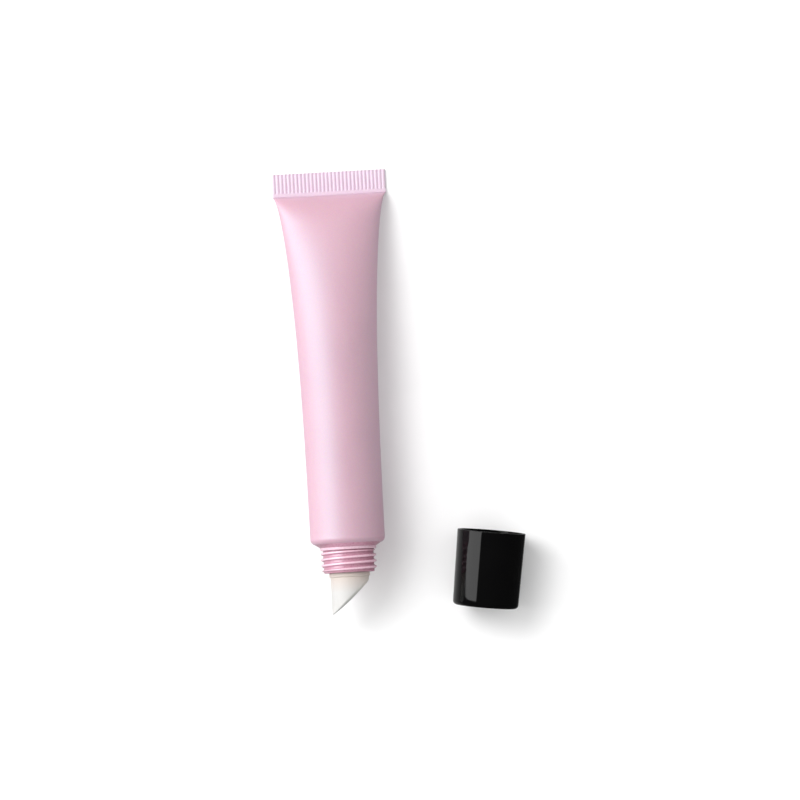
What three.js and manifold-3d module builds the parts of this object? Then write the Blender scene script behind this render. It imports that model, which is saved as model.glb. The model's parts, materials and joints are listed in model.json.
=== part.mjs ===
// Lip gloss tube with its screw cap off, lying on a table. Millimetres, +Z up.
// The tube lies along Y with its crimped end towards +Y and its applicator tip towards -Y;
// the cap lies beside it towards +X. "Forward" below means from the shoulder towards the tip, and
// distances along the tube are counted from the head plane, which cuts the middle of the shoulder.
import * as THREE from 'three';
import { mergeVertices } from 'three/addons/utils/BufferGeometryUtils.js';
import Module from 'manifold-3d';

const wasm = await Module();
wasm.setup();

// ---- driving dimensions ----
const TUBE_RADIUS = 9.5;            // round end of the sleeve
const SLEEVE_WALL = 0.45;
const SLEEVE_END = 95.4;            // crimped edge, behind the head plane
const HEAD_TILT = THREE.MathUtils.degToRad(2.5);  // the filled tube lies with its tip slightly up
const SEAM_BEHIND = 1.5;            // where the head's rounded corner starts
const SHOULDER_ROUND = 1.2;         // radius of that corner
const SHOULDER_SWEEP = 62;          // degrees of it before the shoulder's straight slope
const GAP = 0.3;                    // clearance between pieces that touch on the real object

const RIB_COUNT = 30;
const RIB_BAND = 5.0;               // ribbed part of the crimp
const PLAIN_BAND = 0.9;             // smooth part of the crimp
const CRIMP_HALF = 0.45;            // half thickness over the ribs
const RIB_DEPTH = 0.2;
const RIB_VALLEY = 0.24;            // share of the rib pitch that is valley floor
const RIB_SLOPE = 0.18;             // share of the rib pitch in each sloping side

const NECK_START = 0.45;            // flange in front of the shoulder
const NECK_END = 7.0;
const NECK_ROOT = 6.43;             // radius at the bottom of the thread
const THREAD_LEAD = 0.95;           // smooth band between the neck's start and its thread
const THREAD_RUNOUT = 0.35;         // smooth band between the thread and the neck's end
const BORE = 5.0;
const THREAD_DEPTH = 0.6;
const THREAD_PITCH = 1.5;
const THREAD_AT = 0.93;             // where the crest crosses the neck's underside, forward of the head plane
const THREAD_CLEARANCE = 0.2;

const TIP_RADIUS = 4.85;
const TIP_WALL = 0.95;
const TIP_EDGE = 1.1;               // rounding of the barrel's end before it is cut
const COLLAR_STEP = 0.31;           // how far the collar stands out from the barrel
const COLLAR_LENGTH = 0.9;
const TIP_END = 17.4;
const TIP_SLANT = THREE.MathUtils.degToRad(41.4); // cut face, measured from a square cut
const TIP_CUT_AT_AXIS = 14.2;
const ORIFICE_RADIUS = 1.1;

const CAP_LENGTH = 19.3;
const CAP_RIM_RADIUS = 8.7;
const CAP_TOP_RADIUS = 8.36;
const CAP_WALL = 0.75;
const CAP_TOP_WALL = 0.9;
const CAP_EDGE = 1.0;               // rounding of the closed end's edge
const CAP_BREAK = 0.1;              // broken edges of the rim
const CAP_SEAT = 0.7;               // rim's distance forward of the head plane when screwed on
const CAP_CENTRE = new THREE.Vector2(35.4, -8.1); // where the cap lies, from the tube's axis
const CAP_YAW = THREE.MathUtils.degToRad(7.8);

const AROUND = 40;                  // facets round the threaded pieces
const SLEEVE_AROUND = 48;
const CAP_AROUND = 64;
const GLOSS_AROUND = 24;
const ROWS_PER_PITCH = 6;
const OVERLAP = 0.05;               // how far shapes that are added run into each other
const FULL_TURN = 2 * Math.PI;

// ---- materials ----
const pearlPink = new THREE.MeshStandardMaterial({ color: 0xe9b9ca, roughness: 0.34, metalness: 0.1 });
const pinkPlastic = new THREE.MeshStandardMaterial({ color: 0xdfa3b6, roughness: 0.26, metalness: 0.05 });
const frosted = new THREE.MeshStandardMaterial({
  color: 0xeeece8, roughness: 0.42, metalness: 0, transparent: true, opacity: 0.6,
});
const glossyBlack = new THREE.MeshStandardMaterial({ color: 0x0b0b0c, roughness: 0.08, metalness: 0 });
const blackPlastic = new THREE.MeshStandardMaterial({ color: 0x141415, roughness: 0.4, metalness: 0 });
const sealFoam = new THREE.MeshStandardMaterial({ color: 0xf1efea, roughness: 0.7, metalness: 0 });
const glossColour = new THREE.MeshStandardMaterial({ color: 0xd98f80, roughness: 0.12, metalness: 0 });

// ---- helpers ----
function piece(name, geometry, material) {
  const mesh = new THREE.Mesh(geometry, material);
  mesh.name = name;
  return mesh;
}

// A turned shape about Y from [radius, along] points, outer wall upwards.
function turned(outline, around = AROUND) {
  return new THREE.LatheGeometry(outline.map(([radius, along]) => new THREE.Vector2(radius, along)), around);
}

function arc(centreRadius, centreAlong, radius, fromDegrees, toDegrees, steps) {
  return Array.from({ length: steps + 1 }, (_, step) => {
    const angle = THREE.MathUtils.degToRad(fromDegrees + ((toDegrees - fromDegrees) * step) / steps);
    return [centreRadius + radius * Math.cos(angle), centreAlong + radius * Math.sin(angle)];
  });
}

function toSolid(geometry) {
  const bare = new THREE.BufferGeometry();
  bare.setAttribute('position', geometry.getAttribute('position'));
  bare.setIndex(geometry.getIndex());
  const merged = mergeVertices(bare, 1e-4);
  const corners = [];
  const index = merged.getIndex().array;
  for (let start = 0; start < index.length; start += 3) {
    const [a, b, c] = index.slice(start, start + 3);
    if (a !== b && b !== c && c !== a) corners.push(a, b, c);
  }
  const mesh = new wasm.Mesh({
    numProp: 3,
    vertProperties: new Float32Array(merged.getAttribute('position').array),
    triVerts: new Uint32Array(corners),
  });
  mesh.merge();
  return new wasm.Manifold(mesh);
}

function toGeometry(solid) {
  const mesh = solid.getMesh();
  const geometry = new THREE.BufferGeometry();
  geometry.setAttribute('position', new THREE.BufferAttribute(mesh.vertProperties, 3));
  geometry.setIndex(new THREE.BufferAttribute(mesh.triVerts, 1));
  return geometry;
}

// Moves every vertex of a geometry about Y: change(angle, radius, along) gives the new [x, y, z].
function reshape(geometry, change) {
  const position = geometry.getAttribute('position');
  for (let i = 0; i < position.count; i += 1) {
    const x = position.getX(i);
    const z = position.getZ(i);
    position.setXYZ(i, ...change(Math.atan2(x, z), Math.hypot(x, z), position.getY(i)));
  }
  return geometry;
}

// ---- sleeve: round at the shoulder, flattening to the crimp ----
const SLEEVE_START = SEAM_BEHIND + GAP;
const CRIMP_START = SLEEVE_END - RIB_BAND - PLAIN_BAND;
const CRIMP_HALF_WIDTH = (Math.PI * (TUBE_RADIUS - SLEEVE_WALL / 2)) / 2;
const BELLY = 0.6;                  // fraction of the sleeve from the shoulder where it meets the table
const BELLY_LIFT = (Math.tan(HEAD_TILT) * BELLY * CRIMP_START) / 2;
const WIDENING = 2.5;               // higher values keep the sleeve narrow for longer
const THINNING = 3.5;               // higher values keep the sleeve thick for longer
const WEDGE = 0.45;                 // how bluntly the sleeve's thickness meets the crimp

function flattening(along) {
  return THREE.MathUtils.clamp((along - SLEEVE_START) / (CRIMP_START - SLEEVE_START), 0, 1);
}

function halfWidth(along) {
  const spread = 1 - Math.sqrt(1 - flattening(along) ** WIDENING);
  return TUBE_RADIUS + (CRIMP_HALF_WIDTH - TUBE_RADIUS) * spread;
}

function halfHeight(along) {
  return CRIMP_HALF + (TUBE_RADIUS - CRIMP_HALF) * (1 - flattening(along) ** THINNING) ** WEDGE;
}

// The middle of the sleeve's section and the section's lean, so that the underside rests on z = 0.
function sleeveSection(along) {
  const rise = Math.max(0, 1 - flattening(along) / BELLY);
  const lean = HEAD_TILT * rise;
  return { lean, middle: BELLY_LIFT * rise ** 2 + halfHeight(along) * Math.cos(lean) };
}

function ribbedOutline() {
  const pitch = (2 * CRIMP_HALF_WIDTH) / RIB_COUNT;
  const foot = (RIB_VALLEY / 2) * pitch;
  const shoulder = foot + RIB_SLOPE * pitch;
  const top = [];
  for (let rib = 0; rib < RIB_COUNT; rib += 1) {
    const left = -CRIMP_HALF_WIDTH + rib * pitch;
    const right = left + pitch;
    top.push([left + foot, CRIMP_HALF - RIB_DEPTH], [left + shoulder, CRIMP_HALF]);
    top.push([right - shoulder, CRIMP_HALF], [right - foot, CRIMP_HALF - RIB_DEPTH]);
  }
  const bottom = top.map(([x, z]) => [x, -z]).reverse();
  return new THREE.Shape([...top, ...bottom].reverse().map(([x, z]) => new THREE.Vector2(x, z)));
}

function plainOutline() {
  const inset = 0.05;
  const half = new THREE.Vector2(CRIMP_HALF_WIDTH - inset, CRIMP_HALF - RIB_DEPTH / 2);
  return new THREE.Shape([
    new THREE.Vector2(-half.x, -half.y), new THREE.Vector2(half.x, -half.y),
    new THREE.Vector2(half.x, half.y), new THREE.Vector2(-half.x, half.y),
  ]);
}

// A band of the crimp, lying flat with its lower face CRIMP_HALF under its middle.
function crimpBand(outline, from, to) {
  const geometry = new THREE.ExtrudeGeometry(outline, { depth: to - from, bevelEnabled: false });
  geometry.rotateX(Math.PI / 2);
  geometry.translate(0, to, CRIMP_HALF);
  return toSolid(geometry);
}

// Points along one face of the sleeve's wall, crowded towards the crimp, where the section changes fastest.
function sleeveRows(radius, end, rows) {
  const crowding = 1.7;
  return Array.from({ length: rows + 1 }, (_, row) => {
    const share = 1 - (1 - row / rows) ** crowding;
    return [radius, SLEEVE_START + (end - SLEEVE_START) * share];
  });
}

function tubeSleeve() {
  const webLength = 1.2;            // where the two walls close up in front of the crimp
  const cavityEnd = CRIMP_START - webLength;
  const wallEnd = CRIMP_START + 2 * OVERLAP;
  const outside = sleeveRows(TUBE_RADIUS, wallEnd, 18);
  const inside = sleeveRows(TUBE_RADIUS - SLEEVE_WALL, cavityEnd, 12).reverse();
  const outline = [...outside, [0, wallEnd], [0, cavityEnd], ...inside, outside[0]];
  const shell = reshape(turned(outline, SLEEVE_AROUND), (angle, radius, along) => {
    const { lean, middle } = sleeveSection(along);
    const inset = TUBE_RADIUS - radius;
    const onAxis = radius < 1e-6;
    const across = onAxis ? 0 : (halfWidth(along) - inset) * Math.sin(angle);
    const up = onAxis ? 0 : (halfHeight(along) - inset) * Math.cos(angle);
    return [across, along + up * Math.sin(lean), middle + up * Math.cos(lean)];
  });
  const plain = crimpBand(plainOutline(), CRIMP_START, CRIMP_START + PLAIN_BAND + OVERLAP);
  const ribbed = crimpBand(ribbedOutline(), CRIMP_START + PLAIN_BAND, SLEEVE_END);
  return toGeometry(toSolid(shell).add(plain).add(ribbed));
}

// ---- head: shoulder, smooth band and threaded neck, with a bore through it ----
// Height of the thread over its root: a rounded crest that climbs one pitch a turn.
function threadRise(angle, along) {
  const sharpness = 1.4;
  const phase = (along - THREAD_AT) / THREAD_PITCH - angle / FULL_TURN;
  return THREAD_DEPTH * (0.5 + 0.5 * Math.cos(FULL_TURN * phase)) ** sharpness;
}

function threadRows(from, to, radius) {
  const rows = Math.round(((to - from) / THREAD_PITCH) * ROWS_PER_PITCH);
  return Array.from({ length: rows + 1 }, (_, row) => [radius, from + ((to - from) * row) / rows]);
}

function tubeHead() {
  const threadFrom = NECK_START + THREAD_LEAD;
  const threadTo = NECK_END - THREAD_RUNOUT;
  const fadeIn = 0.4;
  const fadeOut = 0.5;
  const skirtEnd = -SEAM_BEHIND - 3;
  const skirtRadius = TUBE_RADIUS - SLEEVE_WALL - GAP;
  const skirtWall = 0.8;
  const band = NECK_ROOT + THREAD_DEPTH + 0.1;
  const outline = [
    [skirtRadius, skirtEnd],
    [skirtRadius, -SEAM_BEHIND],
    ...arc(TUBE_RADIUS - SHOULDER_ROUND, -SEAM_BEHIND, SHOULDER_ROUND, 0, SHOULDER_SWEEP, 5),
    [band + 0.05, NECK_START],
    [band, NECK_START + 0.7],
    ...threadRows(threadFrom, threadTo, NECK_ROOT),
    [NECK_ROOT - 0.2, NECK_END],
    [BORE, NECK_END],
    [BORE, 0.2],
    [skirtRadius - skirtWall, -SEAM_BEHIND - 0.4],
    [skirtRadius - skirtWall, skirtEnd],
    [skirtRadius, skirtEnd],
  ];
  const { smoothstep } = THREE.MathUtils;
  return reshape(turned(outline), (angle, radius, along) => {
    const onThread = Math.abs(radius - NECK_ROOT) < 1e-6;
    const started = smoothstep(along, threadFrom, threadFrom + fadeIn);
    const ended = smoothstep(along, threadTo - fadeOut, threadTo);
    const grown = onThread ? radius + started * (1 - ended) * threadRise(angle, along) : radius;
    return [grown * Math.sin(angle), along, grown * Math.cos(angle)];
  });
}

// ---- applicator: plug in the neck, collar on its end and a hollow barrel cut on the slant ----
function aboveSlant(cutAtAxis) {
  const size = 40;
  const block = new THREE.BoxGeometry(size, size, size);
  block.translate(0, size / 2, 0);
  block.rotateZ(-TIP_SLANT);
  block.translate(0, cutAtAxis, 0);
  return toSolid(block);
}

function applicatorTip() {
  const plug = BORE - GAP - 0.05;
  const plugEnd = 3.2;
  const taper = 0.3;
  const bead = 0.2;                 // raised ring that grips the bore
  const beadAt = plugEnd + 0.9;
  const beadHalf = 0.3;
  const collar = TIP_RADIUS + COLLAR_STEP;
  const collarFrom = NECK_END + GAP;
  const collarTo = collarFrom + COLLAR_LENGTH;
  const collarBreak = 0.15;
  const channel = TIP_RADIUS - TIP_WALL;
  const body = turned([
    [0, plugEnd],
    [plug - taper, plugEnd],
    [plug, beadAt - beadHalf],
    [plug + bead, beadAt],
    [plug, beadAt + beadHalf],
    [plug, collarFrom],
    [collar, collarFrom],
    [collar, collarTo - collarBreak],
    [collar - collarBreak, collarTo],
    [TIP_RADIUS, collarTo],
    ...arc(TIP_RADIUS - TIP_EDGE, TIP_END - TIP_EDGE, TIP_EDGE, 0, 90, 5),
    [0, TIP_END],
  ]);
  const hollow = turned([[0, plugEnd - 1], [channel, plugEnd - 1], [channel, TIP_END], [0, TIP_END]]);
  const hole = new THREE.CylinderGeometry(ORIFICE_RADIUS, ORIFICE_RADIUS, 8, 16);
  hole.rotateZ(-TIP_SLANT);
  hole.translate(0, TIP_CUT_AT_AXIS, 0);
  const innerCut = aboveSlant(TIP_CUT_AT_AXIS - TIP_WALL / Math.cos(TIP_SLANT));
  const solid = toSolid(body).subtract(aboveSlant(TIP_CUT_AT_AXIS));
  return toGeometry(solid.subtract(toSolid(hollow).subtract(innerCut)).subtract(toSolid(hole)));
}

// ---- gloss left in the tube: a slug in the round part of the sleeve, with a nose in the neck ----
function glossFill() {
  const slug = 7.2;
  const slugFrom = -40;
  const slugTo = -22;
  const tail = 14;
  const nose = 3.35;
  const noseFrom = -2.5;
  const noseTo = 7.6;
  return turned([
    [0, slugFrom - tail],
    [slug / 2, slugFrom - tail],
    [slug - 1.6, slugFrom - 10],
    [slug, slugFrom],
    [slug, slugTo],
    [nose, noseFrom],
    [nose, noseTo],
    [0, noseTo + 0.5],
  ], GLOSS_AROUND);
}

// ---- cap: outer shell, threaded liner and seal ring; y = 0 is the rim ----
function capOuterRadius(along) {
  return CAP_RIM_RADIUS + ((CAP_TOP_RADIUS - CAP_RIM_RADIUS) * along) / CAP_LENGTH;
}

function capShell() {
  const inside = CAP_LENGTH - CAP_TOP_WALL;
  const corner = 0.4;
  const flare = 0.15;               // inside edge of the rim, opened out a little
  return turned([
    [0, inside],
    [capOuterRadius(inside) - CAP_WALL - corner, inside],
    [capOuterRadius(inside) - CAP_WALL, inside - corner],
    [CAP_RIM_RADIUS - CAP_WALL, flare],
    [CAP_RIM_RADIUS - CAP_WALL + flare, 0],
    [CAP_RIM_RADIUS - CAP_BREAK, 0],
    [CAP_RIM_RADIUS, CAP_BREAK],
    [capOuterRadius(CAP_LENGTH - CAP_EDGE), CAP_LENGTH - CAP_EDGE],
    ...arc(CAP_TOP_RADIUS - CAP_EDGE, CAP_LENGTH - CAP_EDGE, CAP_EDGE, 15, 90, 5),
    [0, CAP_LENGTH],
  ], CAP_AROUND);
}

const LINER_RIM = 1.2;              // how far the liner stands back from the cap's rim
const LINER_GAP = 0.2;              // between the liner and the shell it is pressed into
const SEAT_TO_RIM = NECK_END - CAP_SEAT;          // neck's end face, inside the closed cap
const SEAL_THICK = 0.8;

function capLiner() {
  const outer = CAP_RIM_RADIUS - CAP_WALL - LINER_GAP;
  const chimney = 6.5;              // outside radius of the part round the applicator
  const well = 5.55;                // inside radius of that part
  const topWall = 0.7;
  const topOutside = CAP_LENGTH - CAP_TOP_WALL - LINER_GAP;
  const topInside = topOutside - topWall;
  const topEdge = 0.3;
  const groove = 7.15;              // groove that holds the seal ring
  const grooveFrom = SEAT_TO_RIM - 0.05;
  const grooveTo = grooveFrom + GAP + SEAL_THICK + 0.25;
  const root = NECK_ROOT + THREAD_CLEARANCE;
  const threadFrom = LINER_RIM + 0.5;
  const threadTo = grooveFrom - 0.2;
  const outline = [
    [0, topInside],
    [well, topInside],
    [well, grooveTo],
    [groove, grooveTo],
    [groove, grooveFrom + 0.1],
    ...threadRows(threadFrom, threadTo, root).reverse(),
    [root + THREAD_DEPTH + 0.1, LINER_RIM],
    [outer, LINER_RIM],
    [outer - 0.05, grooveTo + 0.2],
    [chimney, grooveTo + 1],
    [chimney, topOutside - topEdge],
    [chimney - topEdge, topOutside],
    [0, topOutside],
  ];
  return reshape(turned(outline), (angle, radius, along) => {
    const onThread = Math.abs(radius - root) < 1e-6;
    const grown = onThread ? radius + threadRise(angle, along + CAP_SEAT) : radius;
    return [grown * Math.sin(angle), along, grown * Math.cos(angle)];
  });
}

function capGasket() {
  const inside = 5.35;
  const outside = 6.9;
  const from = SEAT_TO_RIM + GAP - 0.05;
  const to = from + SEAL_THICK;
  return turned([[inside, from], [outside, from], [outside, to], [inside, to], [inside, from]]);
}

// ---- assembly ----
const { lean: startLean, middle: startHeight } = sleeveSection(SLEEVE_START);
const headFrame = new THREE.Group();
headFrame.rotation.x = Math.PI - startLean;
headFrame.position.set(0, 0, startHeight + SLEEVE_START * Math.tan(startLean));
headFrame.add(
  piece('tube_head', tubeHead(), pinkPlastic),
  piece('applicator_tip', applicatorTip(), frosted),
  piece('gloss_fill', glossFill(), glossColour),
);

const capDip = Math.atan2(CAP_RIM_RADIUS - CAP_TOP_RADIUS, CAP_LENGTH);
const capFrame = new THREE.Group();
capFrame.rotation.order = 'ZXY';
capFrame.rotation.set(Math.PI + capDip, 0, -CAP_YAW);
capFrame.position.set(
  CAP_CENTRE.x + (CAP_LENGTH / 2) * Math.sin(CAP_YAW),
  CAP_CENTRE.y + (CAP_LENGTH / 2) * Math.cos(CAP_YAW),
  CAP_RIM_RADIUS * Math.cos(capDip),
);
capFrame.add(
  piece('cap_shell', capShell(), glossyBlack),
  piece('cap_liner', capLiner(), blackPlastic),
  piece('cap_gasket', capGasket(), sealFoam),
);

const lipGlossTube = new THREE.Group();
lipGlossTube.add(piece('tube_sleeve', tubeSleeve(), pearlPink), headFrame, capFrame);

// The origin is the middle of the underside of the whole object.
const extent = new THREE.Box3().setFromObject(lipGlossTube, true);
const middle = extent.getCenter(new THREE.Vector3());
lipGlossTube.position.set(-middle.x, -middle.y, -extent.min.z);

export default lipGlossTube;
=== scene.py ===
# Looks of a lip gloss tube with its screw cap off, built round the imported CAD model.
#
# Lengths are in millimetres until a mesh is made. "Along" is the distance forward from the head plane,
# in the middle of the shoulder, towards the tip on the tube, and from the rim towards the closed end on
# the cap. "Behind" is the distance from the head plane towards the crimp.
import json
import math

import bmesh
import bpy
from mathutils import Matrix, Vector


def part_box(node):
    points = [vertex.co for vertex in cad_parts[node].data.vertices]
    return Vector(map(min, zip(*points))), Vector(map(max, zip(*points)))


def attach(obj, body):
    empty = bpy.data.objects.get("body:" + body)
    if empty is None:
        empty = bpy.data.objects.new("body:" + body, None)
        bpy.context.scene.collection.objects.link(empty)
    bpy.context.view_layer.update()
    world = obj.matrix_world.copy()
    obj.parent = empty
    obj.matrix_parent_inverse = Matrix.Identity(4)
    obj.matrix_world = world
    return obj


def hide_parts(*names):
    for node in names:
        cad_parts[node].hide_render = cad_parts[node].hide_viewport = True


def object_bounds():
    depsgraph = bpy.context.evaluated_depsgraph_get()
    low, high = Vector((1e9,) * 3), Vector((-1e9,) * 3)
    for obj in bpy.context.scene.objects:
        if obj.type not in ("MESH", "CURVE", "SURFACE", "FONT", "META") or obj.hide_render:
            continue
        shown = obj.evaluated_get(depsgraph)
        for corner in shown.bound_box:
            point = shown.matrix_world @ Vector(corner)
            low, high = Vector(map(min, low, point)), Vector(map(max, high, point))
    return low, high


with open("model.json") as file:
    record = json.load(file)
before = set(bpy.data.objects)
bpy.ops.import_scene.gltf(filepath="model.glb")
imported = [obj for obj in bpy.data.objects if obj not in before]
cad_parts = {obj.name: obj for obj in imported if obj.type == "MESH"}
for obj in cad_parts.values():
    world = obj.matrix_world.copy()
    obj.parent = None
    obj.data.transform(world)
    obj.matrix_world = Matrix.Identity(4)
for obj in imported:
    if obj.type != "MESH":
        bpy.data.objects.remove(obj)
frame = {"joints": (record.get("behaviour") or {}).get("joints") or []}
CAD_BOX = [list(corner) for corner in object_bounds()]
JOINTS = {joint["name"]: joint for joint in frame["joints"]}
MM = 0.001

# ---- sizes of the design ----
TUBE_RADIUS = 9.5
SLEEVE_WALL = 0.45
SLEEVE_END = 95.4
SLEEVE_START = 1.8      # where the sleeve's rounded front edge ends
SEAM_BEHIND = 1.78      # where the shoulder's rounded corner starts
SHOULDER_ROUND = 1.5    # radius of that corner
SHOULDER_SWEEP = 62     # degrees of it before the shoulder's straight slope
BELLY = 0.6             # share of the sleeve, from the head, over which its lean fades out
WIDENING = (2.5, 0.57)  # powers that shape the outline seen from above
THINNING = (3.5, 0.45)  # powers that shape the outline seen from the side

RIB_COUNT = 30
RIB_BAND = 5.0          # ribbed part of the crimp
PLAIN_BAND = 0.9        # smooth part of the crimp
CRIMP_HALF = 0.45       # half thickness over the ribs
RIB_DEPTH = 0.24
GROOVE_FLOOR = 0.08     # half width of a groove's floor, as a share of the rib pitch
GROOVE_EDGE = 0.32      # half width of a groove at its top
CRIMP_BOXINESS = 9
CRIMP_START = SLEEVE_END - RIB_BAND - PLAIN_BAND
CRIMP_HALF_WIDTH = math.pi * (TUBE_RADIUS - SLEEVE_WALL / 2) / 2

NECK_START = 0.45
NECK_END = 7.0
NECK_ROOT = 6.43        # radius at the bottom of the thread
BORE = 5.0
THREAD_DEPTH = 0.6
THREAD_PITCH = 1.5
THREAD_AT = 0.93        # where the crest crosses the neck's underside
THREAD_CLEARANCE = 0.2

TIP_RADIUS = 4.85
TIP_WALL = 0.95
TIP_SLANT = math.radians(41.4)
TIP_CUT_AT_AXIS = 13.5  # where the slanted face's rim plane crosses the axis
TIP_DOME = 0.5
ORIFICE_RADIUS = 1.1

CAP_LENGTH = 19.3
CAP_RIM_RADIUS = 8.7
CAP_TOP_RADIUS = 8.36
CAP_WALL = 0.75
CAP_TOP_WALL = 0.9
CAP_EDGE = 1.0          # rounding of the closed end's edge
CAP_SEAT = 0.7          # rim's distance forward of the head plane when screwed on
SEAT_TO_RIM = NECK_END - CAP_SEAT

FULL_TURN = 2 * math.pi


# ---- small maths ----
def mix(low, high, share):
    return low + (high - low) * share


def smooth(value, low, high):
    share = min(1.0, max(0.0, (value - low) / (high - low)))
    return share * share * (3 - 2 * share)


def on_arc(centre_radius, centre_along, radius, degrees):
    """The point at an angle on an arc, 0 degrees pointing outwards and 90 forwards."""
    angle = math.radians(degrees)
    return centre_radius + radius * math.cos(angle), centre_along + radius * math.sin(angle)


def arc(centre_radius, centre_along, radius, start, end, steps):
    """Points on an arc, from start to end degrees."""
    return [
        on_arc(centre_radius, centre_along, radius, mix(start, end, step / steps))
        for step in range(steps + 1)
    ]


def rounded(corner, before, after, size, steps=6):
    """A soft corner between the directions to the points before and after it."""
    corner, before, after = Vector(corner), Vector(before), Vector(after)
    start = corner + (before - corner).normalized() * size
    end = corner + (after - corner).normalized() * size
    points = []
    for step in range(steps + 1):
        share = step / steps
        points.append(tuple(start.lerp(corner, share).lerp(corner.lerp(end, share), share)))
    return points


def evenly(start, end, steps):
    """Points between two [radius, along] points, both included."""
    return [tuple(Vector(start).lerp(Vector(end), step / steps)) for step in range(steps + 1)]


# ---- meshes ----
def mesh_of_rings(name, rings, closed=False, sharp_degrees=38):
    """A skin over rings of points in millimetres. Unless it is closed, each end ring is fanned shut."""
    mesh = bmesh.new()
    verts = [[mesh.verts.new(Vector(point) * MM) for point in ring] for ring in rings]
    around = len(rings[0])
    pairs = list(zip(verts, verts[1:]))
    if closed:
        pairs.append((verts[-1], verts[0]))
    for lower, upper in pairs:
        for i in range(around):
            j = (i + 1) % around
            mesh.faces.new((lower[i], lower[j], upper[j], upper[i]))
    if not closed:
        for ring in (verts[0], verts[-1]):
            middle = sum((vert.co for vert in ring), Vector()) / around
            hub = mesh.verts.new(middle)
            for i in range(around):
                mesh.faces.new((ring[i], ring[(i + 1) % around], hub))
    bmesh.ops.remove_doubles(mesh, verts=mesh.verts, dist=1e-7)
    bmesh.ops.recalc_face_normals(mesh, faces=mesh.faces)
    for face in mesh.faces:
        face.smooth = True
    for edge in mesh.edges:
        edge.smooth = edge.calc_face_angle(0.0) < math.radians(sharp_degrees)
    data = bpy.data.meshes.new(name)
    mesh.to_mesh(data)
    mesh.free()
    piece = bpy.data.objects.new(name, data)
    bpy.context.scene.collection.objects.link(piece)
    return piece


def axis_frame(origin, forward):
    """Where a turned piece is: origin in millimetres, across, forward, and down when it lies flat."""
    forward = Vector(forward).normalized()
    across = Vector((0, 0, 1)).cross(forward).normalized()
    return Vector(origin), across, forward, across.cross(forward)


def place(axes, angle, radius, along):
    origin, across, forward, down = axes
    sideways, downwards = math.sin(angle), math.cos(angle)
    return origin + across * radius * sideways + forward * along + down * radius * downwards


def turned(name, axes, outline, around, closed=False):
    """Turns an outline about an axis. outline(angle) gives (radius, along) points, always as many."""
    angles = [FULL_TURN * i / around for i in range(around)]
    columns = [outline(angle) for angle in angles]
    rings = [
        [place(axes, angle, *column[row]) for angle, column in zip(angles, columns)]
        for row in range(len(columns[0]))
    ]
    return mesh_of_rings(name, rings, closed)


def finish_piece(piece, body, node, material):
    piece.data.materials.append(material)
    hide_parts(node)
    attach(piece, body)
    return piece


# ---- where things are ----
SLEEVE_LOW, SLEEVE_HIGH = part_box("tube_sleeve")
TUBE_X = (SLEEVE_LOW[0] + SLEEVE_HIGH[0]) / 2 / MM
TUBE_Y = SLEEVE_HIGH[1] / MM - SLEEVE_END
NECK_DIRECTION = -Vector(JOINTS["cap_draw"]["axis"])
HEAD_TILT = math.asin(NECK_DIRECTION.z)
BELLY_LIFT = math.tan(HEAD_TILT) * BELLY * CRIMP_START / 2


def flattening(behind):
    """Rises from 0 at the sleeve's round front to 1 at its crimp."""
    return min(1.0, max(0.0, (behind - SLEEVE_START) / (CRIMP_START - SLEEVE_START)))


def half_width(behind):
    onset, flare = WIDENING
    spread = 1 - (1 - flattening(behind) ** onset) ** flare
    return mix(TUBE_RADIUS, CRIMP_HALF_WIDTH, spread)


def half_height(behind):
    onset, fall = THINNING
    return mix(CRIMP_HALF, TUBE_RADIUS, (1 - flattening(behind) ** onset) ** fall)


def section_middle(behind):
    """Height and lean of the sleeve's section, with the underside on the table."""
    rise = max(0.0, 1 - flattening(behind) / BELLY)
    lean = HEAD_TILT * rise
    return BELLY_LIFT * rise ** 2 + half_height(behind) * math.cos(lean), lean


START_HEIGHT, START_LEAN = section_middle(SLEEVE_START)
HEAD_AXES = axis_frame(
    (TUBE_X, TUBE_Y, START_HEIGHT + SLEEVE_START * math.tan(START_LEAN)), NECK_DIRECTION
)
CAP_AXES = axis_frame(
    Vector(JOINTS["cap_turn"]["pos_m"]) / MM, -Vector(JOINTS["cap_turn"]["axis"])
)


# ---- sleeve ----
SLEEVE_AROUND = 720


def sides_and_shares():
    """Goes round the sleeve: 1 on top and -1 below, each with a share from -1 to 1 across it."""
    for i in range(SLEEVE_AROUND):
        turn = 4 * i / SLEEVE_AROUND
        yield (1 if turn < 2 else -1), turn % 2 - 1


def section_ring(behind, width, height, boxiness, flatness, ribs=0.0):
    """One ring of the sleeve. flatness spaces its points evenly across the width, for the ribs."""
    middle, lean = section_middle(behind)
    rib_pitch = 2 * CRIMP_HALF_WIDTH / RIB_COUNT
    ring = []
    for side, share in sides_and_shares():
        fraction = mix(math.sin(share * math.pi / 2), share, flatness)
        across = width * fraction
        from_groove = abs((across / rib_pitch + 0.5) % 1 - 0.5)
        depth = height - ribs * RIB_DEPTH * (1 - smooth(from_groove, GROOVE_FLOOR, GROOVE_EDGE))
        up = side * depth * (1 - abs(fraction) ** boxiness) ** (1 / boxiness)
        ring.append((
            TUBE_X + side * across,
            TUBE_Y + behind + up * math.sin(lean),
            middle + up * math.cos(lean),
        ))
    return ring


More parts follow.
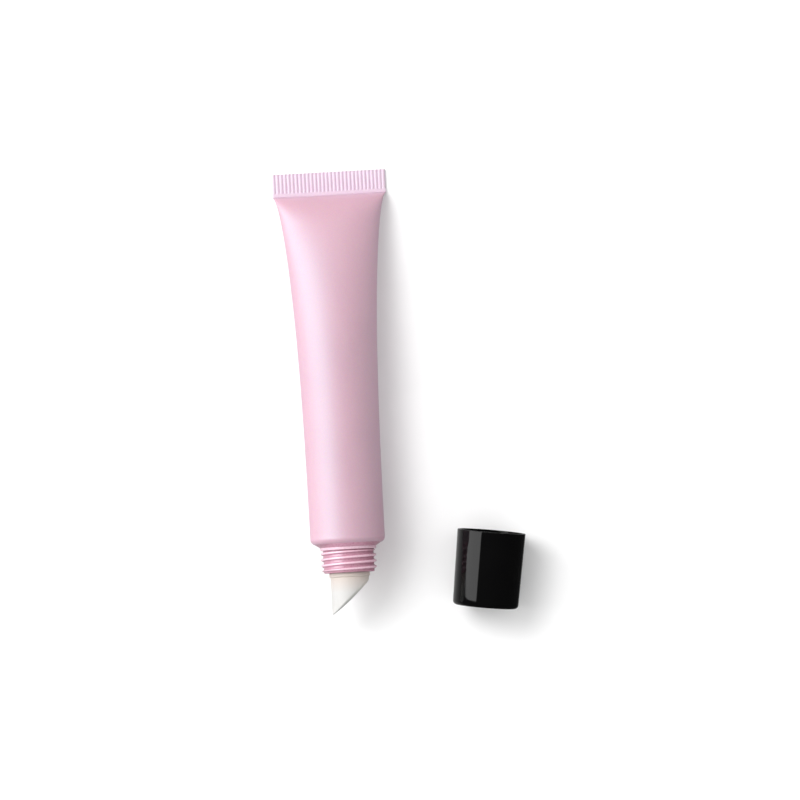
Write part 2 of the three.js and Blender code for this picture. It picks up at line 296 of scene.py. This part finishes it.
def sleeve_corner():
    """The sleeve's skin turned over the shoulder's rounded corner, front edge first."""
    centre = TUBE_RADIUS - SHOULDER_ROUND
    lip = SHOULDER_SWEEP - 1
    skin_thickness = 0.3
    proud = 0.02
    last_degrees = 4
    outline = [on_arc(centre, -SEAM_BEHIND, SHOULDER_ROUND - skin_thickness, lip)]
    outline += arc(centre, -SEAM_BEHIND, SHOULDER_ROUND + proud, lip, last_degrees, 12)
    rings = []
    for radius, along in outline:
        ring = []
        for side, share in sides_and_shares():
            angle = share * math.pi / 2
            around = angle if side > 0 else math.pi + angle
            ring.append(place(HEAD_AXES, math.pi - around, radius, along))
        rings.append(ring)
    return rings


def tube_sleeve():
    body_rows = 110
    crowding = 1.9  # brings the rows closer together towards the crimp
    oval, boxy = 2.0, 2.8
    rings = sleeve_corner()
    for row in range(body_rows + 1):
        behind = mix(SLEEVE_START, CRIMP_START, 1 - (1 - row / body_rows) ** crowding)
        boxiness = mix(oval, boxy, smooth(flattening(behind), 0.9, 1))
        flatness = smooth(flattening(behind), 0.5, 1)
        width, height = half_width(behind), half_height(behind)
        rings.append(section_ring(behind, width, height, boxiness, flatness))

    plain = CRIMP_HALF - RIB_DEPTH / 3
    raised = plain + 0.04
    plain_rows = [(0.05, CRIMP_HALF - 0.01), (0.3, raised), (0.7, raised), (PLAIN_BAND - 0.02, plain)]
    for behind, height in plain_rows:
        rings.append(section_ring(CRIMP_START + behind, CRIMP_HALF_WIDTH, height, CRIMP_BOXINESS, 1))

    edge = 0.06
    ribs_from = CRIMP_START + PLAIN_BAND
    rib_rows = [(0, 0.0), (0.12, 0.5), (0.25, 0.9), (0.4, 1.0), (2.3, 1.0), (RIB_BAND - 0.1, 1.0)]
    for behind, ribs in rib_rows:
        height = mix(plain, CRIMP_HALF, ribs)
        ring = section_ring(ribs_from + behind, CRIMP_HALF_WIDTH, height, CRIMP_BOXINESS, 1, ribs)
        rings.append(ring)
    rings.append(
        section_ring(SLEEVE_END, CRIMP_HALF_WIDTH - edge, CRIMP_HALF - edge, CRIMP_BOXINESS, 1, 1)
    )
    return mesh_of_rings("sleeve", rings)


# ---- head ----
def thread_phase(angle, along):
    """Turns of the thread's helix past its crest."""
    return (along - THREAD_AT) / THREAD_PITCH - angle / FULL_TURN


def thread_profile(angle, along):
    """The neck's thread: a narrow crest with a flat top, steep sides and a wide flat root."""
    crest_half, root_at = 0.16, 0.5
    phase = thread_phase(angle, along)
    from_crest = abs(phase - round(phase)) * THREAD_PITCH
    return THREAD_DEPTH * (1 - smooth(from_crest, crest_half, root_at))


def tube_head():
    """The shoulder, a flange, and the threaded neck. Its skirt reaches back into the sleeve."""
    flange = NECK_ROOT + THREAD_DEPTH + 0.1
    flange_end = NECK_START + 0.72
    skirt, skirt_inside, skirt_end = 8.0, 7.2, -4.0
    funnel_from, funnel_to = -2.0, 0.2
    thread_from, thread_to = NECK_START + 0.8, NECK_END - 0.25
    run_in, run_out = 0.4, 0.5
    rows = 130
    under_sleeve = 0.04
    shoulder = arc(
        TUBE_RADIUS - SHOULDER_ROUND, -SEAM_BEHIND, SHOULDER_ROUND - under_sleeve, 20, SHOULDER_SWEEP, 5
    )

    def outline(angle):
        points = [(skirt, skirt_end), (skirt, -SEAM_BEHIND)] + shoulder
        points += rounded((flange + 0.02, NECK_START), shoulder[-1], (flange, flange_end), 0.14)
        points += rounded((flange, flange_end), (flange, NECK_START), (NECK_ROOT, flange_end), 0.12, 4)
        for row in range(rows + 1):
            along = mix(thread_from, thread_to, row / rows)
            starting = smooth(along, thread_from, thread_from + run_in)
            ending = smooth(along, thread_to - run_out, thread_to)
            fade = starting * (1 - ending)
            points.append((NECK_ROOT + fade * thread_profile(angle, along), along))
        points += rounded((NECK_ROOT, NECK_END), (NECK_ROOT, 0), (BORE, NECK_END), 0.25)
        points += rounded((BORE, NECK_END), (NECK_ROOT, NECK_END), (BORE, 0), 0.12, 3)
        points += [(BORE, funnel_to), (skirt_inside, funnel_from), (skirt_inside, skirt_end)]
        return points

    return turned("head", HEAD_AXES, outline, 240, closed=True)


# ---- applicator tip ----
def applicator_tip():
    """A plug in the neck, a collar on its end, and a barrel cut at a slant, with a channel through."""
    plug_end, plug = 3.2, BORE - 0.25
    barb = 0.12
    collar_from = NECK_END + 0.05
    collar_to = collar_from + 1.05
    collar = TIP_RADIUS + 0.31
    channel = TIP_RADIUS - TIP_WALL
    slope = math.tan(TIP_SLANT)
    long_side_edge, short_side_edge = 0.45, 0.8
    broken_edge, orifice_edge = 0.12, 0.03

    def outline(angle):
        lean = math.sin(angle) * slope
        edge = mix(long_side_edge, short_side_edge, (1 + math.sin(angle)) / 2)
        hole = ORIFICE_RADIUS / math.hypot(math.sin(angle) / math.cos(TIP_SLANT), math.cos(angle))

        def face(radius, sink=0.0):
            """A point on the slanted face, slightly domed, or on its inside, sunk by a wall."""
            dome = TIP_DOME * (1 - (radius / TIP_RADIUS) ** 2)
            return radius, TIP_CUT_AT_AXIS - radius * lean + dome - sink / math.cos(TIP_SLANT)

        rim_along = face(TIP_RADIUS)[1]
        hole_along = face(hole)[1]
        inside_corner = face(channel, TIP_WALL)
        points = rounded((plug, plug_end), (channel, plug_end), (plug, plug_end + 1), 0.3, 3)
        points += [(plug + barb, plug_end + 0.9), (plug, plug_end + 1.4), (plug, collar_from)]
        points += rounded(
            (collar, collar_from), (plug, collar_from), (collar, collar_to), broken_edge, 3
        )
        points += rounded((collar, collar_to), (collar, collar_from), (TIP_RADIUS, collar_to), 0.15, 4)
        points += rounded(
            (TIP_RADIUS, collar_to), (collar, collar_to), (TIP_RADIUS, collar_to + 1), broken_edge, 3
        )
        points += evenly((TIP_RADIUS, collar_to + 0.2), (TIP_RADIUS, rim_along - edge), 8)
        points += rounded(
            (TIP_RADIUS, rim_along), (TIP_RADIUS, 0), face(mix(hole, TIP_RADIUS, 0.4)), edge, 10
        )
        points += [face(mix(hole, TIP_RADIUS, share)) for share in (0.36, 0.2, 0.06)]
        points += [(hole + orifice_edge, hole_along - orifice_edge), (hole, hole_along - 0.15)]
        points += [face(hole, TIP_WALL)]
        points += [face(mix(hole, channel, share), TIP_WALL) for share in (0.3, 0.6)]
        points += rounded(
            inside_corner, face(mix(hole, channel, 0.5), TIP_WALL), (channel, 0), 0.7
        )
        points += evenly((channel, inside_corner[1] - 1.0), (channel, plug_end + 0.2), 6)
        points += [(channel + 0.15, plug_end)]
        return points

    return turned("applicator", HEAD_AXES, outline, 192, closed=True)


# ---- gloss ----
def gloss_fill():
    """A slug with an uneven tail, a long cone and a nose that fills the neck's channel."""
    slug, slug_from, slug_to = 7.2, -40.0, -22.0
    tail_end = slug_from - 14
    nose, nose_from, nose_end = 3.35, -2.5, 8.05

    def outline(angle):
        ripple = 0.12 * math.sin(3 * angle) + 0.08 * math.sin(5 * angle + 1)
        points = [(0.0, tail_end), (2.0, tail_end + 0.2), (4.0, tail_end + 1.4)]
        points += [(5.6 + ripple, tail_end + 4), (6.3 + ripple, tail_end + 8)]
        points += [(slug, slug_from), (slug, slug_to - 8)]
        points += rounded((slug, slug_to), (slug, slug_to - 8), (nose, nose_from), 3.0)
        points += [(nose, nose_from + 0.2), (nose, 3.0), (nose, nose_end - 1.05)]
        points += [(3.1, nose_end - 0.55), (2.4, nose_end - 0.25), (1.2, nose_end - 0.05)]
        points += [(0.0, nose_end)]
        return points

    return turned("gloss", HEAD_AXES, outline, 64)


# ---- cap ----
def cap_shell():
    def outer_at(along):
        return mix(CAP_RIM_RADIUS, CAP_TOP_RADIUS, along / CAP_LENGTH)

    inside = CAP_LENGTH - CAP_TOP_WALL
    side_end = CAP_LENGTH - 1.8
    outline = [(0.0, inside), (5.0, inside)]
    inner_top = outer_at(inside) - CAP_WALL
    inner_rim = CAP_RIM_RADIUS - CAP_WALL
    outline += rounded((inner_top, inside), (0, inside), (inner_rim, 0), 0.5)
    outline += evenly((mix(inner_top, inner_rim, 0.1), inside * 0.9), (inner_rim, 0.5), 6)
    outline += rounded((inner_rim, 0), (inner_rim, 1), (CAP_RIM_RADIUS, 0), 0.2, 4)
    outline += rounded((CAP_RIM_RADIUS, 0), (inner_rim, 0), (outer_at(1), 1), 0.16, 4)
    outline += evenly((outer_at(0.5), 0.5), (outer_at(side_end), side_end), 24)
    outline += arc(outer_at(CAP_LENGTH) - CAP_EDGE, CAP_LENGTH - CAP_EDGE, CAP_EDGE, 3, 90, 12)
    outline += [(6.5, CAP_LENGTH), (3.0, CAP_LENGTH), (0.0, CAP_LENGTH)]
    return turned("cap_outer", CAP_AXES, lambda angle: outline, 256)


def liner_thread(angle, along):
    """How far the liner's thread is cut in, which mates with the neck's with room to spare."""
    phase = thread_phase(angle, along + CAP_SEAT)
    sharpness = 1.4
    return THREAD_DEPTH * (0.5 + 0.5 * math.cos(FULL_TURN * phase)) ** sharpness


def cap_liner():
    """The inner cap: a threaded mouth, a groove for the seal ring and a well that clears the tip."""
    rim, well, chimney, groove = 1.2, 5.55, 6.5, 7.15
    inside_shell = 0.05
    wall = 0.8
    outer = CAP_RIM_RADIUS - CAP_WALL - inside_shell
    top_outside = CAP_LENGTH - CAP_TOP_WALL - inside_shell
    top_inside = top_outside - wall
    groove_from = SEAT_TO_RIM - 0.05
    groove_to = groove_from + 1.35
    root = NECK_ROOT + THREAD_CLEARANCE
    rows = 80

    def outline(angle):
        points = [(0.0, top_inside)]
        points += rounded((well, top_inside), (0, top_inside), (well, 0), 0.5)
        points += rounded((well, groove_to), (well, 20), (groove, groove_to), 0.2, 4)
        points += [(groove, groove_to), (groove, groove_from + 0.1)]
        for row in range(rows + 1):
            along = mix(groove_from - 0.2, rim + 0.5, row / rows)
            points.append((root + liner_thread(angle, along), along))
        points += [(root + THREAD_DEPTH + 0.05, rim + 0.1), (root + THREAD_DEPTH + 0.15, rim)]
        points += rounded((outer, rim), (root, rim), (outer, 9), 0.15, 3)
        points += [(outer - 0.1, groove_to + 0.2), (chimney, groove_to + 1)]
        points += rounded((chimney, top_outside), (chimney, 9), (0, top_outside), 0.3, 3)
        points += [(0.0, top_outside)]
        return points

    return turned("cap_inner", CAP_AXES, outline, 200)


def cap_gasket():
    inside, outside = 5.35, 6.9
    thickness = 0.8
    start = SEAT_TO_RIM + 0.25
    end = start + thickness
    corners = [(inside, start), (outside, start), (outside, end), (inside, end)]
    outline = []
    for i, corner in enumerate(corners):
        outline += rounded(corner, corners[i - 1], corners[(i + 1) % 4], 0.15, 3)
    return turned("seal_ring", CAP_AXES, lambda angle: outline, 128, closed=True)


# ---- materials ----
# Painted light: the crimp is painted paler, standing in for the light its flat face catches.
CRIMP_PAINTED_LIGHT_PINK = (0.91, 0.56, 0.68, 1)
# Painted highlight: the thread's crests are painted paler, standing in for the light they catch.
CREST_PAINTED_HIGHLIGHT_PINK = (0.86, 0.57, 0.67, 1)
WARM_CLEAR = (0.79, 0.7, 0.64, 1)


def new_material(name, **settings):
    """A material and its Principled shader, with the given sockets set on it."""
    material = bpy.data.materials.new(name)
    material.use_nodes = True
    shader = material.node_tree.nodes["Principled BSDF"]
    for socket, value in settings.items():
        shader.inputs[socket.replace("_", " ")].default_value = value
    return material, shader


def add_node(material, kind, **settings):
    node = material.node_tree.nodes.new(kind)
    for key, value in settings.items():
        if key in node.inputs:
            node.inputs[key].default_value = value
        else:
            setattr(node, key, value)
    return node


def join(material, source, target):
    material.node_tree.links.new(source, target)


def surface_point(material):
    return add_node(material, "ShaderNodeTexCoord").outputs["Object"]


def noise(material, scale, detail=2.0, roughness=0.5):
    node = add_node(material, "ShaderNodeTexNoise", Scale=scale, Detail=detail, Roughness=roughness)
    join(material, surface_point(material), node.inputs["Vector"])
    return node.outputs["Fac"]


def ramp(material, value, low, high, start=0.0, end=1.0):
    """Maps a value between start and end onto two colours or greys."""
    node = add_node(material, "ShaderNodeValToRGB")
    for element, place_at, colour in zip(node.color_ramp.elements, (start, end), (low, high)):
        element.position = place_at
        element.color = colour if isinstance(colour, tuple) else (colour, colour, colour, 1)
    join(material, value, node.inputs["Fac"])
    return node.outputs["Color"]


def blend_colours(material, share, low, high, mode="MIX"):
    node = add_node(material, "ShaderNodeMix", data_type="RGBA", blend_type=mode)
    for socket, value in ((node.inputs["Factor"], share), (node.inputs[6], low), (node.inputs[7], high)):
        if isinstance(value, bpy.types.NodeSocket):
            join(material, value, socket)
        else:
            socket.default_value = value
    return node.outputs[2]


def bump(material, shader, height, strength, distance):
    node = add_node(material, "ShaderNodeBump", Strength=strength, Distance=distance * MM)
    join(material, height, node.inputs["Height"])
    join(material, node.outputs["Normal"], shader.inputs["Normal"])


def share_along_tube(material, start, end):
    """Rises from 0 to 1 between two distances behind the head plane."""
    place_at = add_node(material, "ShaderNodeSeparateXYZ")
    join(material, surface_point(material), place_at.inputs[0])
    share = add_node(material, "ShaderNodeMapRange")
    share.inputs["From Min"].default_value = (TUBE_Y + start) * MM
    share.inputs["From Max"].default_value = (TUBE_Y + end) * MM
    join(material, place_at.outputs["Y"], share.inputs["Value"])
    return share.outputs["Result"]


def share_near_radius(material, axes, radius, reach):
    """Rises to 1 where a surface lies within reach of one distance from a turned piece's axis."""
    origin, forward = axes[0], axes[2]
    offset = add_node(material, "ShaderNodeVectorMath", operation="SUBTRACT")
    join(material, surface_point(material), offset.inputs[0])
    offset.inputs[1].default_value = origin * MM
    along = add_node(material, "ShaderNodeVectorMath", operation="PROJECT")
    join(material, offset.outputs["Vector"], along.inputs[0])
    along.inputs[1].default_value = forward
    out = add_node(material, "ShaderNodeVectorMath", operation="DISTANCE")
    join(material, offset.outputs["Vector"], out.inputs[0])
    join(material, along.outputs["Vector"], out.inputs[1])
    share = add_node(material, "ShaderNodeMath", operation="COMPARE")
    share.inputs[1].default_value = radius * MM
    share.inputs[2].default_value = reach * MM
    join(material, out.outputs["Value"], share.inputs[0])
    return share.outputs["Value"]


def pearl(name, pink, deep, roughness, flakes, painted_crimp_light=False, painted_crest_highlight=False, **settings):
    """Pink plastic with mica in it: fine flakes that catch the light, and a slow drift of tone.
    The flat crimp is painted paler, as painted light, and the thin crests of a thread are painted paler,
    as a painted highlight.
    """
    flake_size = 0.16
    crimp_light_blend = 0.3
    crest_highlight_reach = 0.13
    material, shader = new_material(name, **settings)
    cells = add_node(material, "ShaderNodeTexVoronoi", Scale=1 / (flake_size * MM))
    join(material, surface_point(material), cells.inputs["Vector"])
    drift = ramp(material, noise(material, 60), deep, pink, 0.3, 0.6)
    # Painted light: paler towards the crimp, for the light on its flat face.
    if painted_crimp_light:
        at_crimp_painted_light = share_along_tube(material, CRIMP_START - crimp_light_blend, CRIMP_START + crimp_light_blend)
        drift = blend_colours(material, at_crimp_painted_light, drift, CRIMP_PAINTED_LIGHT_PINK)
    # Painted highlight: paler on the thread's crests.
    if painted_crest_highlight:
        at_crest_highlight = share_near_radius(material, HEAD_AXES, NECK_ROOT + THREAD_DEPTH, crest_highlight_reach)
        drift = blend_colours(material, at_crest_highlight, drift, CREST_PAINTED_HIGHLIGHT_PINK)
    tinted = blend_colours(material, flakes, drift, cells.outputs["Color"], "SOFT_LIGHT")
    join(material, tinted, shader.inputs["Base Color"])
    spread = ramp(material, cells.outputs["Color"], roughness - 0.06, roughness + 0.08)
    join(material, spread, shader.inputs["Roughness"])
    bump(material, shader, cells.outputs["Color"], 0.12 * flakes, 0.02)
    return material


def frosted_plastic():
    """Frosted, nearly clear plastic, warmer near the neck, where the gloss inside shows through."""
    material, shader = new_material("frosted_plastic", IOR=1.45, Transmission_Weight=0.35)
    cloudy, clear = (0.75, 0.745, 0.725, 1), (0.79, 0.785, 0.77, 1)
    frost = ramp(material, noise(material, 150), cloudy, clear, 0.35, 0.65)
    near_neck = share_along_tube(material, -12, -8)
    tone = blend_colours(material, near_neck, frost, WARM_CLEAR)
    join(material, tone, shader.inputs["Base Color"])
    join(material, ramp(material, noise(material, 900), 0.4, 0.5), shader.inputs["Roughness"])
    return material


def gloss_black():
    """Polished black plastic with a faint haze and the slight waviness of a moulding."""
    material, shader = new_material("gloss_black", IOR=1.37, Coat_Weight=0.05, Coat_Roughness=0.03)
    tone = ramp(material, noise(material, 90), (0.0015, 0.0015, 0.0016, 1), (0.003, 0.003, 0.0031, 1))
    join(material, tone, shader.inputs["Base Color"])
    haze = ramp(material, noise(material, 220, 6, 0.7), 0.045, 0.1, 0.35, 0.75)
    join(material, haze, shader.inputs["Roughness"])
    bump(material, shader, noise(material, 120, 1), 0.05, 0.02)
    return material


def moulded_black():
    """Unpolished black plastic with a fine grain."""
    material, shader = new_material("moulded_black", IOR=1.48)
    join(material, ramp(material, noise(material, 200), 0.012, 0.02), shader.inputs["Base Color"])
    join(material, ramp(material, noise(material, 1500, 3), 0.32, 0.48), shader.inputs["Roughness"])
    bump(material, shader, noise(material, 3500, 3), 0.2, 0.02)
    return material


def seal_foam():
    """Off-white foam with fine pores."""
    material, shader = new_material("seal_foam")
    pore, wall = (0.8, 0.79, 0.76, 1), (0.9, 0.89, 0.87, 1)
    tone = ramp(material, noise(material, 2500, 3), pore, wall, 0.4, 0.6)
    join(material, tone, shader.inputs["Base Color"])
    join(material, ramp(material, noise(material, 900), 0.6, 0.8), shader.inputs["Roughness"])
    bump(material, shader, noise(material, 4000, 4), 0.5, 0.03)
    return material


def lip_gloss():
    """Wet peach-pink gloss with shimmer in it."""
    shimmer_size = 0.2
    deep, pale = (0.78, 0.5, 0.42, 1), (0.87, 0.62, 0.53, 1)
    material, shader = new_material(
        "lip_gloss", IOR=1.47, Transmission_Weight=0.35, Coat_Weight=0.5, Coat_Roughness=0.05,
    )
    shimmer = add_node(material, "ShaderNodeTexVoronoi", Scale=1 / (shimmer_size * MM))
    join(material, surface_point(material), shimmer.inputs["Vector"])
    tone = ramp(material, noise(material, 250, 3), deep, pale, 0.35, 0.65)
    tinted = blend_colours(material, 0.15, tone, shimmer.outputs["Color"], "SOFT_LIGHT")
    join(material, tinted, shader.inputs["Base Color"])
    join(material, ramp(material, shimmer.outputs["Color"], 0.08, 0.2), shader.inputs["Roughness"])
    return material


def studio_paper():
    material, shader = new_material("studio_paper")
    tone = ramp(material, noise(material, 40, 4), 0.9, 0.92, 0.4, 0.6)
    join(material, tone, shader.inputs["Base Color"])
    join(material, ramp(material, noise(material, 300), 0.75, 0.9), shader.inputs["Roughness"])
    return material


# ---- studio ----
def studio_floor():
    """White paper at the object's lowest point. Glossy surfaces see the dome in its place."""
    half_size_m = 3.0
    mesh = bmesh.new()
    bmesh.ops.create_grid(mesh, x_segments=8, y_segments=8, size=half_size_m)
    data = bpy.data.meshes.new("floor")
    mesh.to_mesh(data)
    mesh.free()
    floor = bpy.data.objects.new("floor", data)
    floor.location.z = CAD_BOX[0][2]
    data.materials.append(studio_paper())
    floor.visible_glossy = False
    bpy.context.scene.collection.objects.link(floor)


def soft_box(name, place_at, look_at, width, height, power, reflected=True):
    """A rectangular lamp. Places and sizes are in metres, the power in watts."""
    light = bpy.data.lights.new(name, "AREA")
    light.shape = "RECTANGLE"
    light.size, light.size_y, light.energy = width, height, power
    lamp = bpy.data.objects.new(name, light)
    lamp.location = place_at
    lamp.rotation_euler = (Vector(look_at) - Vector(place_at)).to_track_quat("-Z", "Y").to_euler()
    lamp.visible_glossy = reflected
    bpy.context.scene.collection.objects.link(lamp)


def studio_lights():
    """A white dome, a high key from the left and a lower strip box. Glossy surfaces see the dome dim,
    and brighter down on the left, where the lit paper would be.
    """
    dome_strength, dimmest, brightest = 0.8, 0.03, 0.5
    lit_paper = (-0.5, 0, -0.87)
    world = bpy.data.worlds.new("studio")
    world.use_nodes = True
    tree = world.node_tree
    background = tree.nodes["Background"]
    background.inputs["Color"].default_value = (1, 1, 1, 1)
    direction = tree.nodes.new("ShaderNodeTexCoord")
    to_paper = tree.nodes.new("ShaderNodeVectorMath")
    to_paper.operation = "DOT_PRODUCT"
    to_paper.inputs[1].default_value = lit_paper
    paper = tree.nodes.new("ShaderNodeMapRange")
    paper.inputs["From Min"].default_value = 0.5
    paper.inputs["To Min"].default_value = dimmest
    paper.inputs["To Max"].default_value = brightest
    rays = tree.nodes.new("ShaderNodeLightPath")
    dome = tree.nodes.new("ShaderNodeMix")
    dome.inputs["A"].default_value = dome_strength
    tree.links.new(direction.outputs["Generated"], to_paper.inputs[0])
    tree.links.new(to_paper.outputs["Value"], paper.inputs["Value"])
    tree.links.new(rays.outputs["Is Glossy Ray"], dome.inputs["Factor"])
    tree.links.new(paper.outputs["Result"], dome.inputs["B"])
    tree.links.new(dome.outputs["Result"], background.inputs["Strength"])
    bpy.context.scene.world = world
    soft_box("key", (-0.52, 0.5, 0.96), (0, 0, 0.01), 0.6, 0.6, 6.8, reflected=False)
    soft_box("strip", (-0.86, 0.30, 0.5), (0.02, -0.04, 0.01), 0.74, 1.2, 7.8)
    bpy.context.scene.view_settings.view_transform = "Standard"


def photo_camera():
    """Straight down from above the middle of the picture, rolled so that the tube leans as it did."""
    middle_x, middle_y, height = -0.15, -2.27, 1400
    view_degrees, roll_degrees = 8.38, -3.12
    data = bpy.data.cameras.new("camera")
    data.angle = math.radians(view_degrees)
    data.clip_start = 0.01
    camera = bpy.data.objects.new("camera", data)
    camera.location = (middle_x * MM, middle_y * MM, height * MM)
    camera.rotation_euler = (0, 0, math.radians(roll_degrees))
    bpy.context.scene.collection.objects.link(camera)
    bpy.context.scene.camera = camera


photo_camera()
studio_floor()
studio_lights()

pearl_sleeve = pearl(
    "pearl_sleeve", (0.79, 0.35, 0.445, 1), (0.76, 0.335, 0.43, 1), 0.6, 0.2,
    painted_crimp_light=True, IOR=3.9, Specular_Tint=(0.42, 0.92, 1.0, 1), Coat_Weight=0.1, Coat_Roughness=0.2,
)
pink_neck = pearl(
    "pink_neck", (0.58, 0.27, 0.36, 1), (0.55, 0.25, 0.34, 1), 0.3, 0.06,
    painted_crest_highlight=True, IOR=2.6, Specular_Tint=(0.85, 0.92, 1.0, 1), Coat_Weight=0.4, Coat_Roughness=0.12,
)
finish_piece(tube_sleeve(), "tube", "tube_sleeve", pearl_sleeve)
finish_piece(tube_head(), "tube", "tube_head", pink_neck)
finish_piece(applicator_tip(), "tube", "applicator_tip", frosted_plastic())
finish_piece(gloss_fill(), "gloss", "gloss_fill", lip_gloss())
finish_piece(cap_shell(), "cap", "cap_shell", gloss_black())
finish_piece(cap_liner(), "cap", "cap_liner", moulded_black())
finish_piece(cap_gasket(), "cap_seal", "cap_gasket", seal_foam())
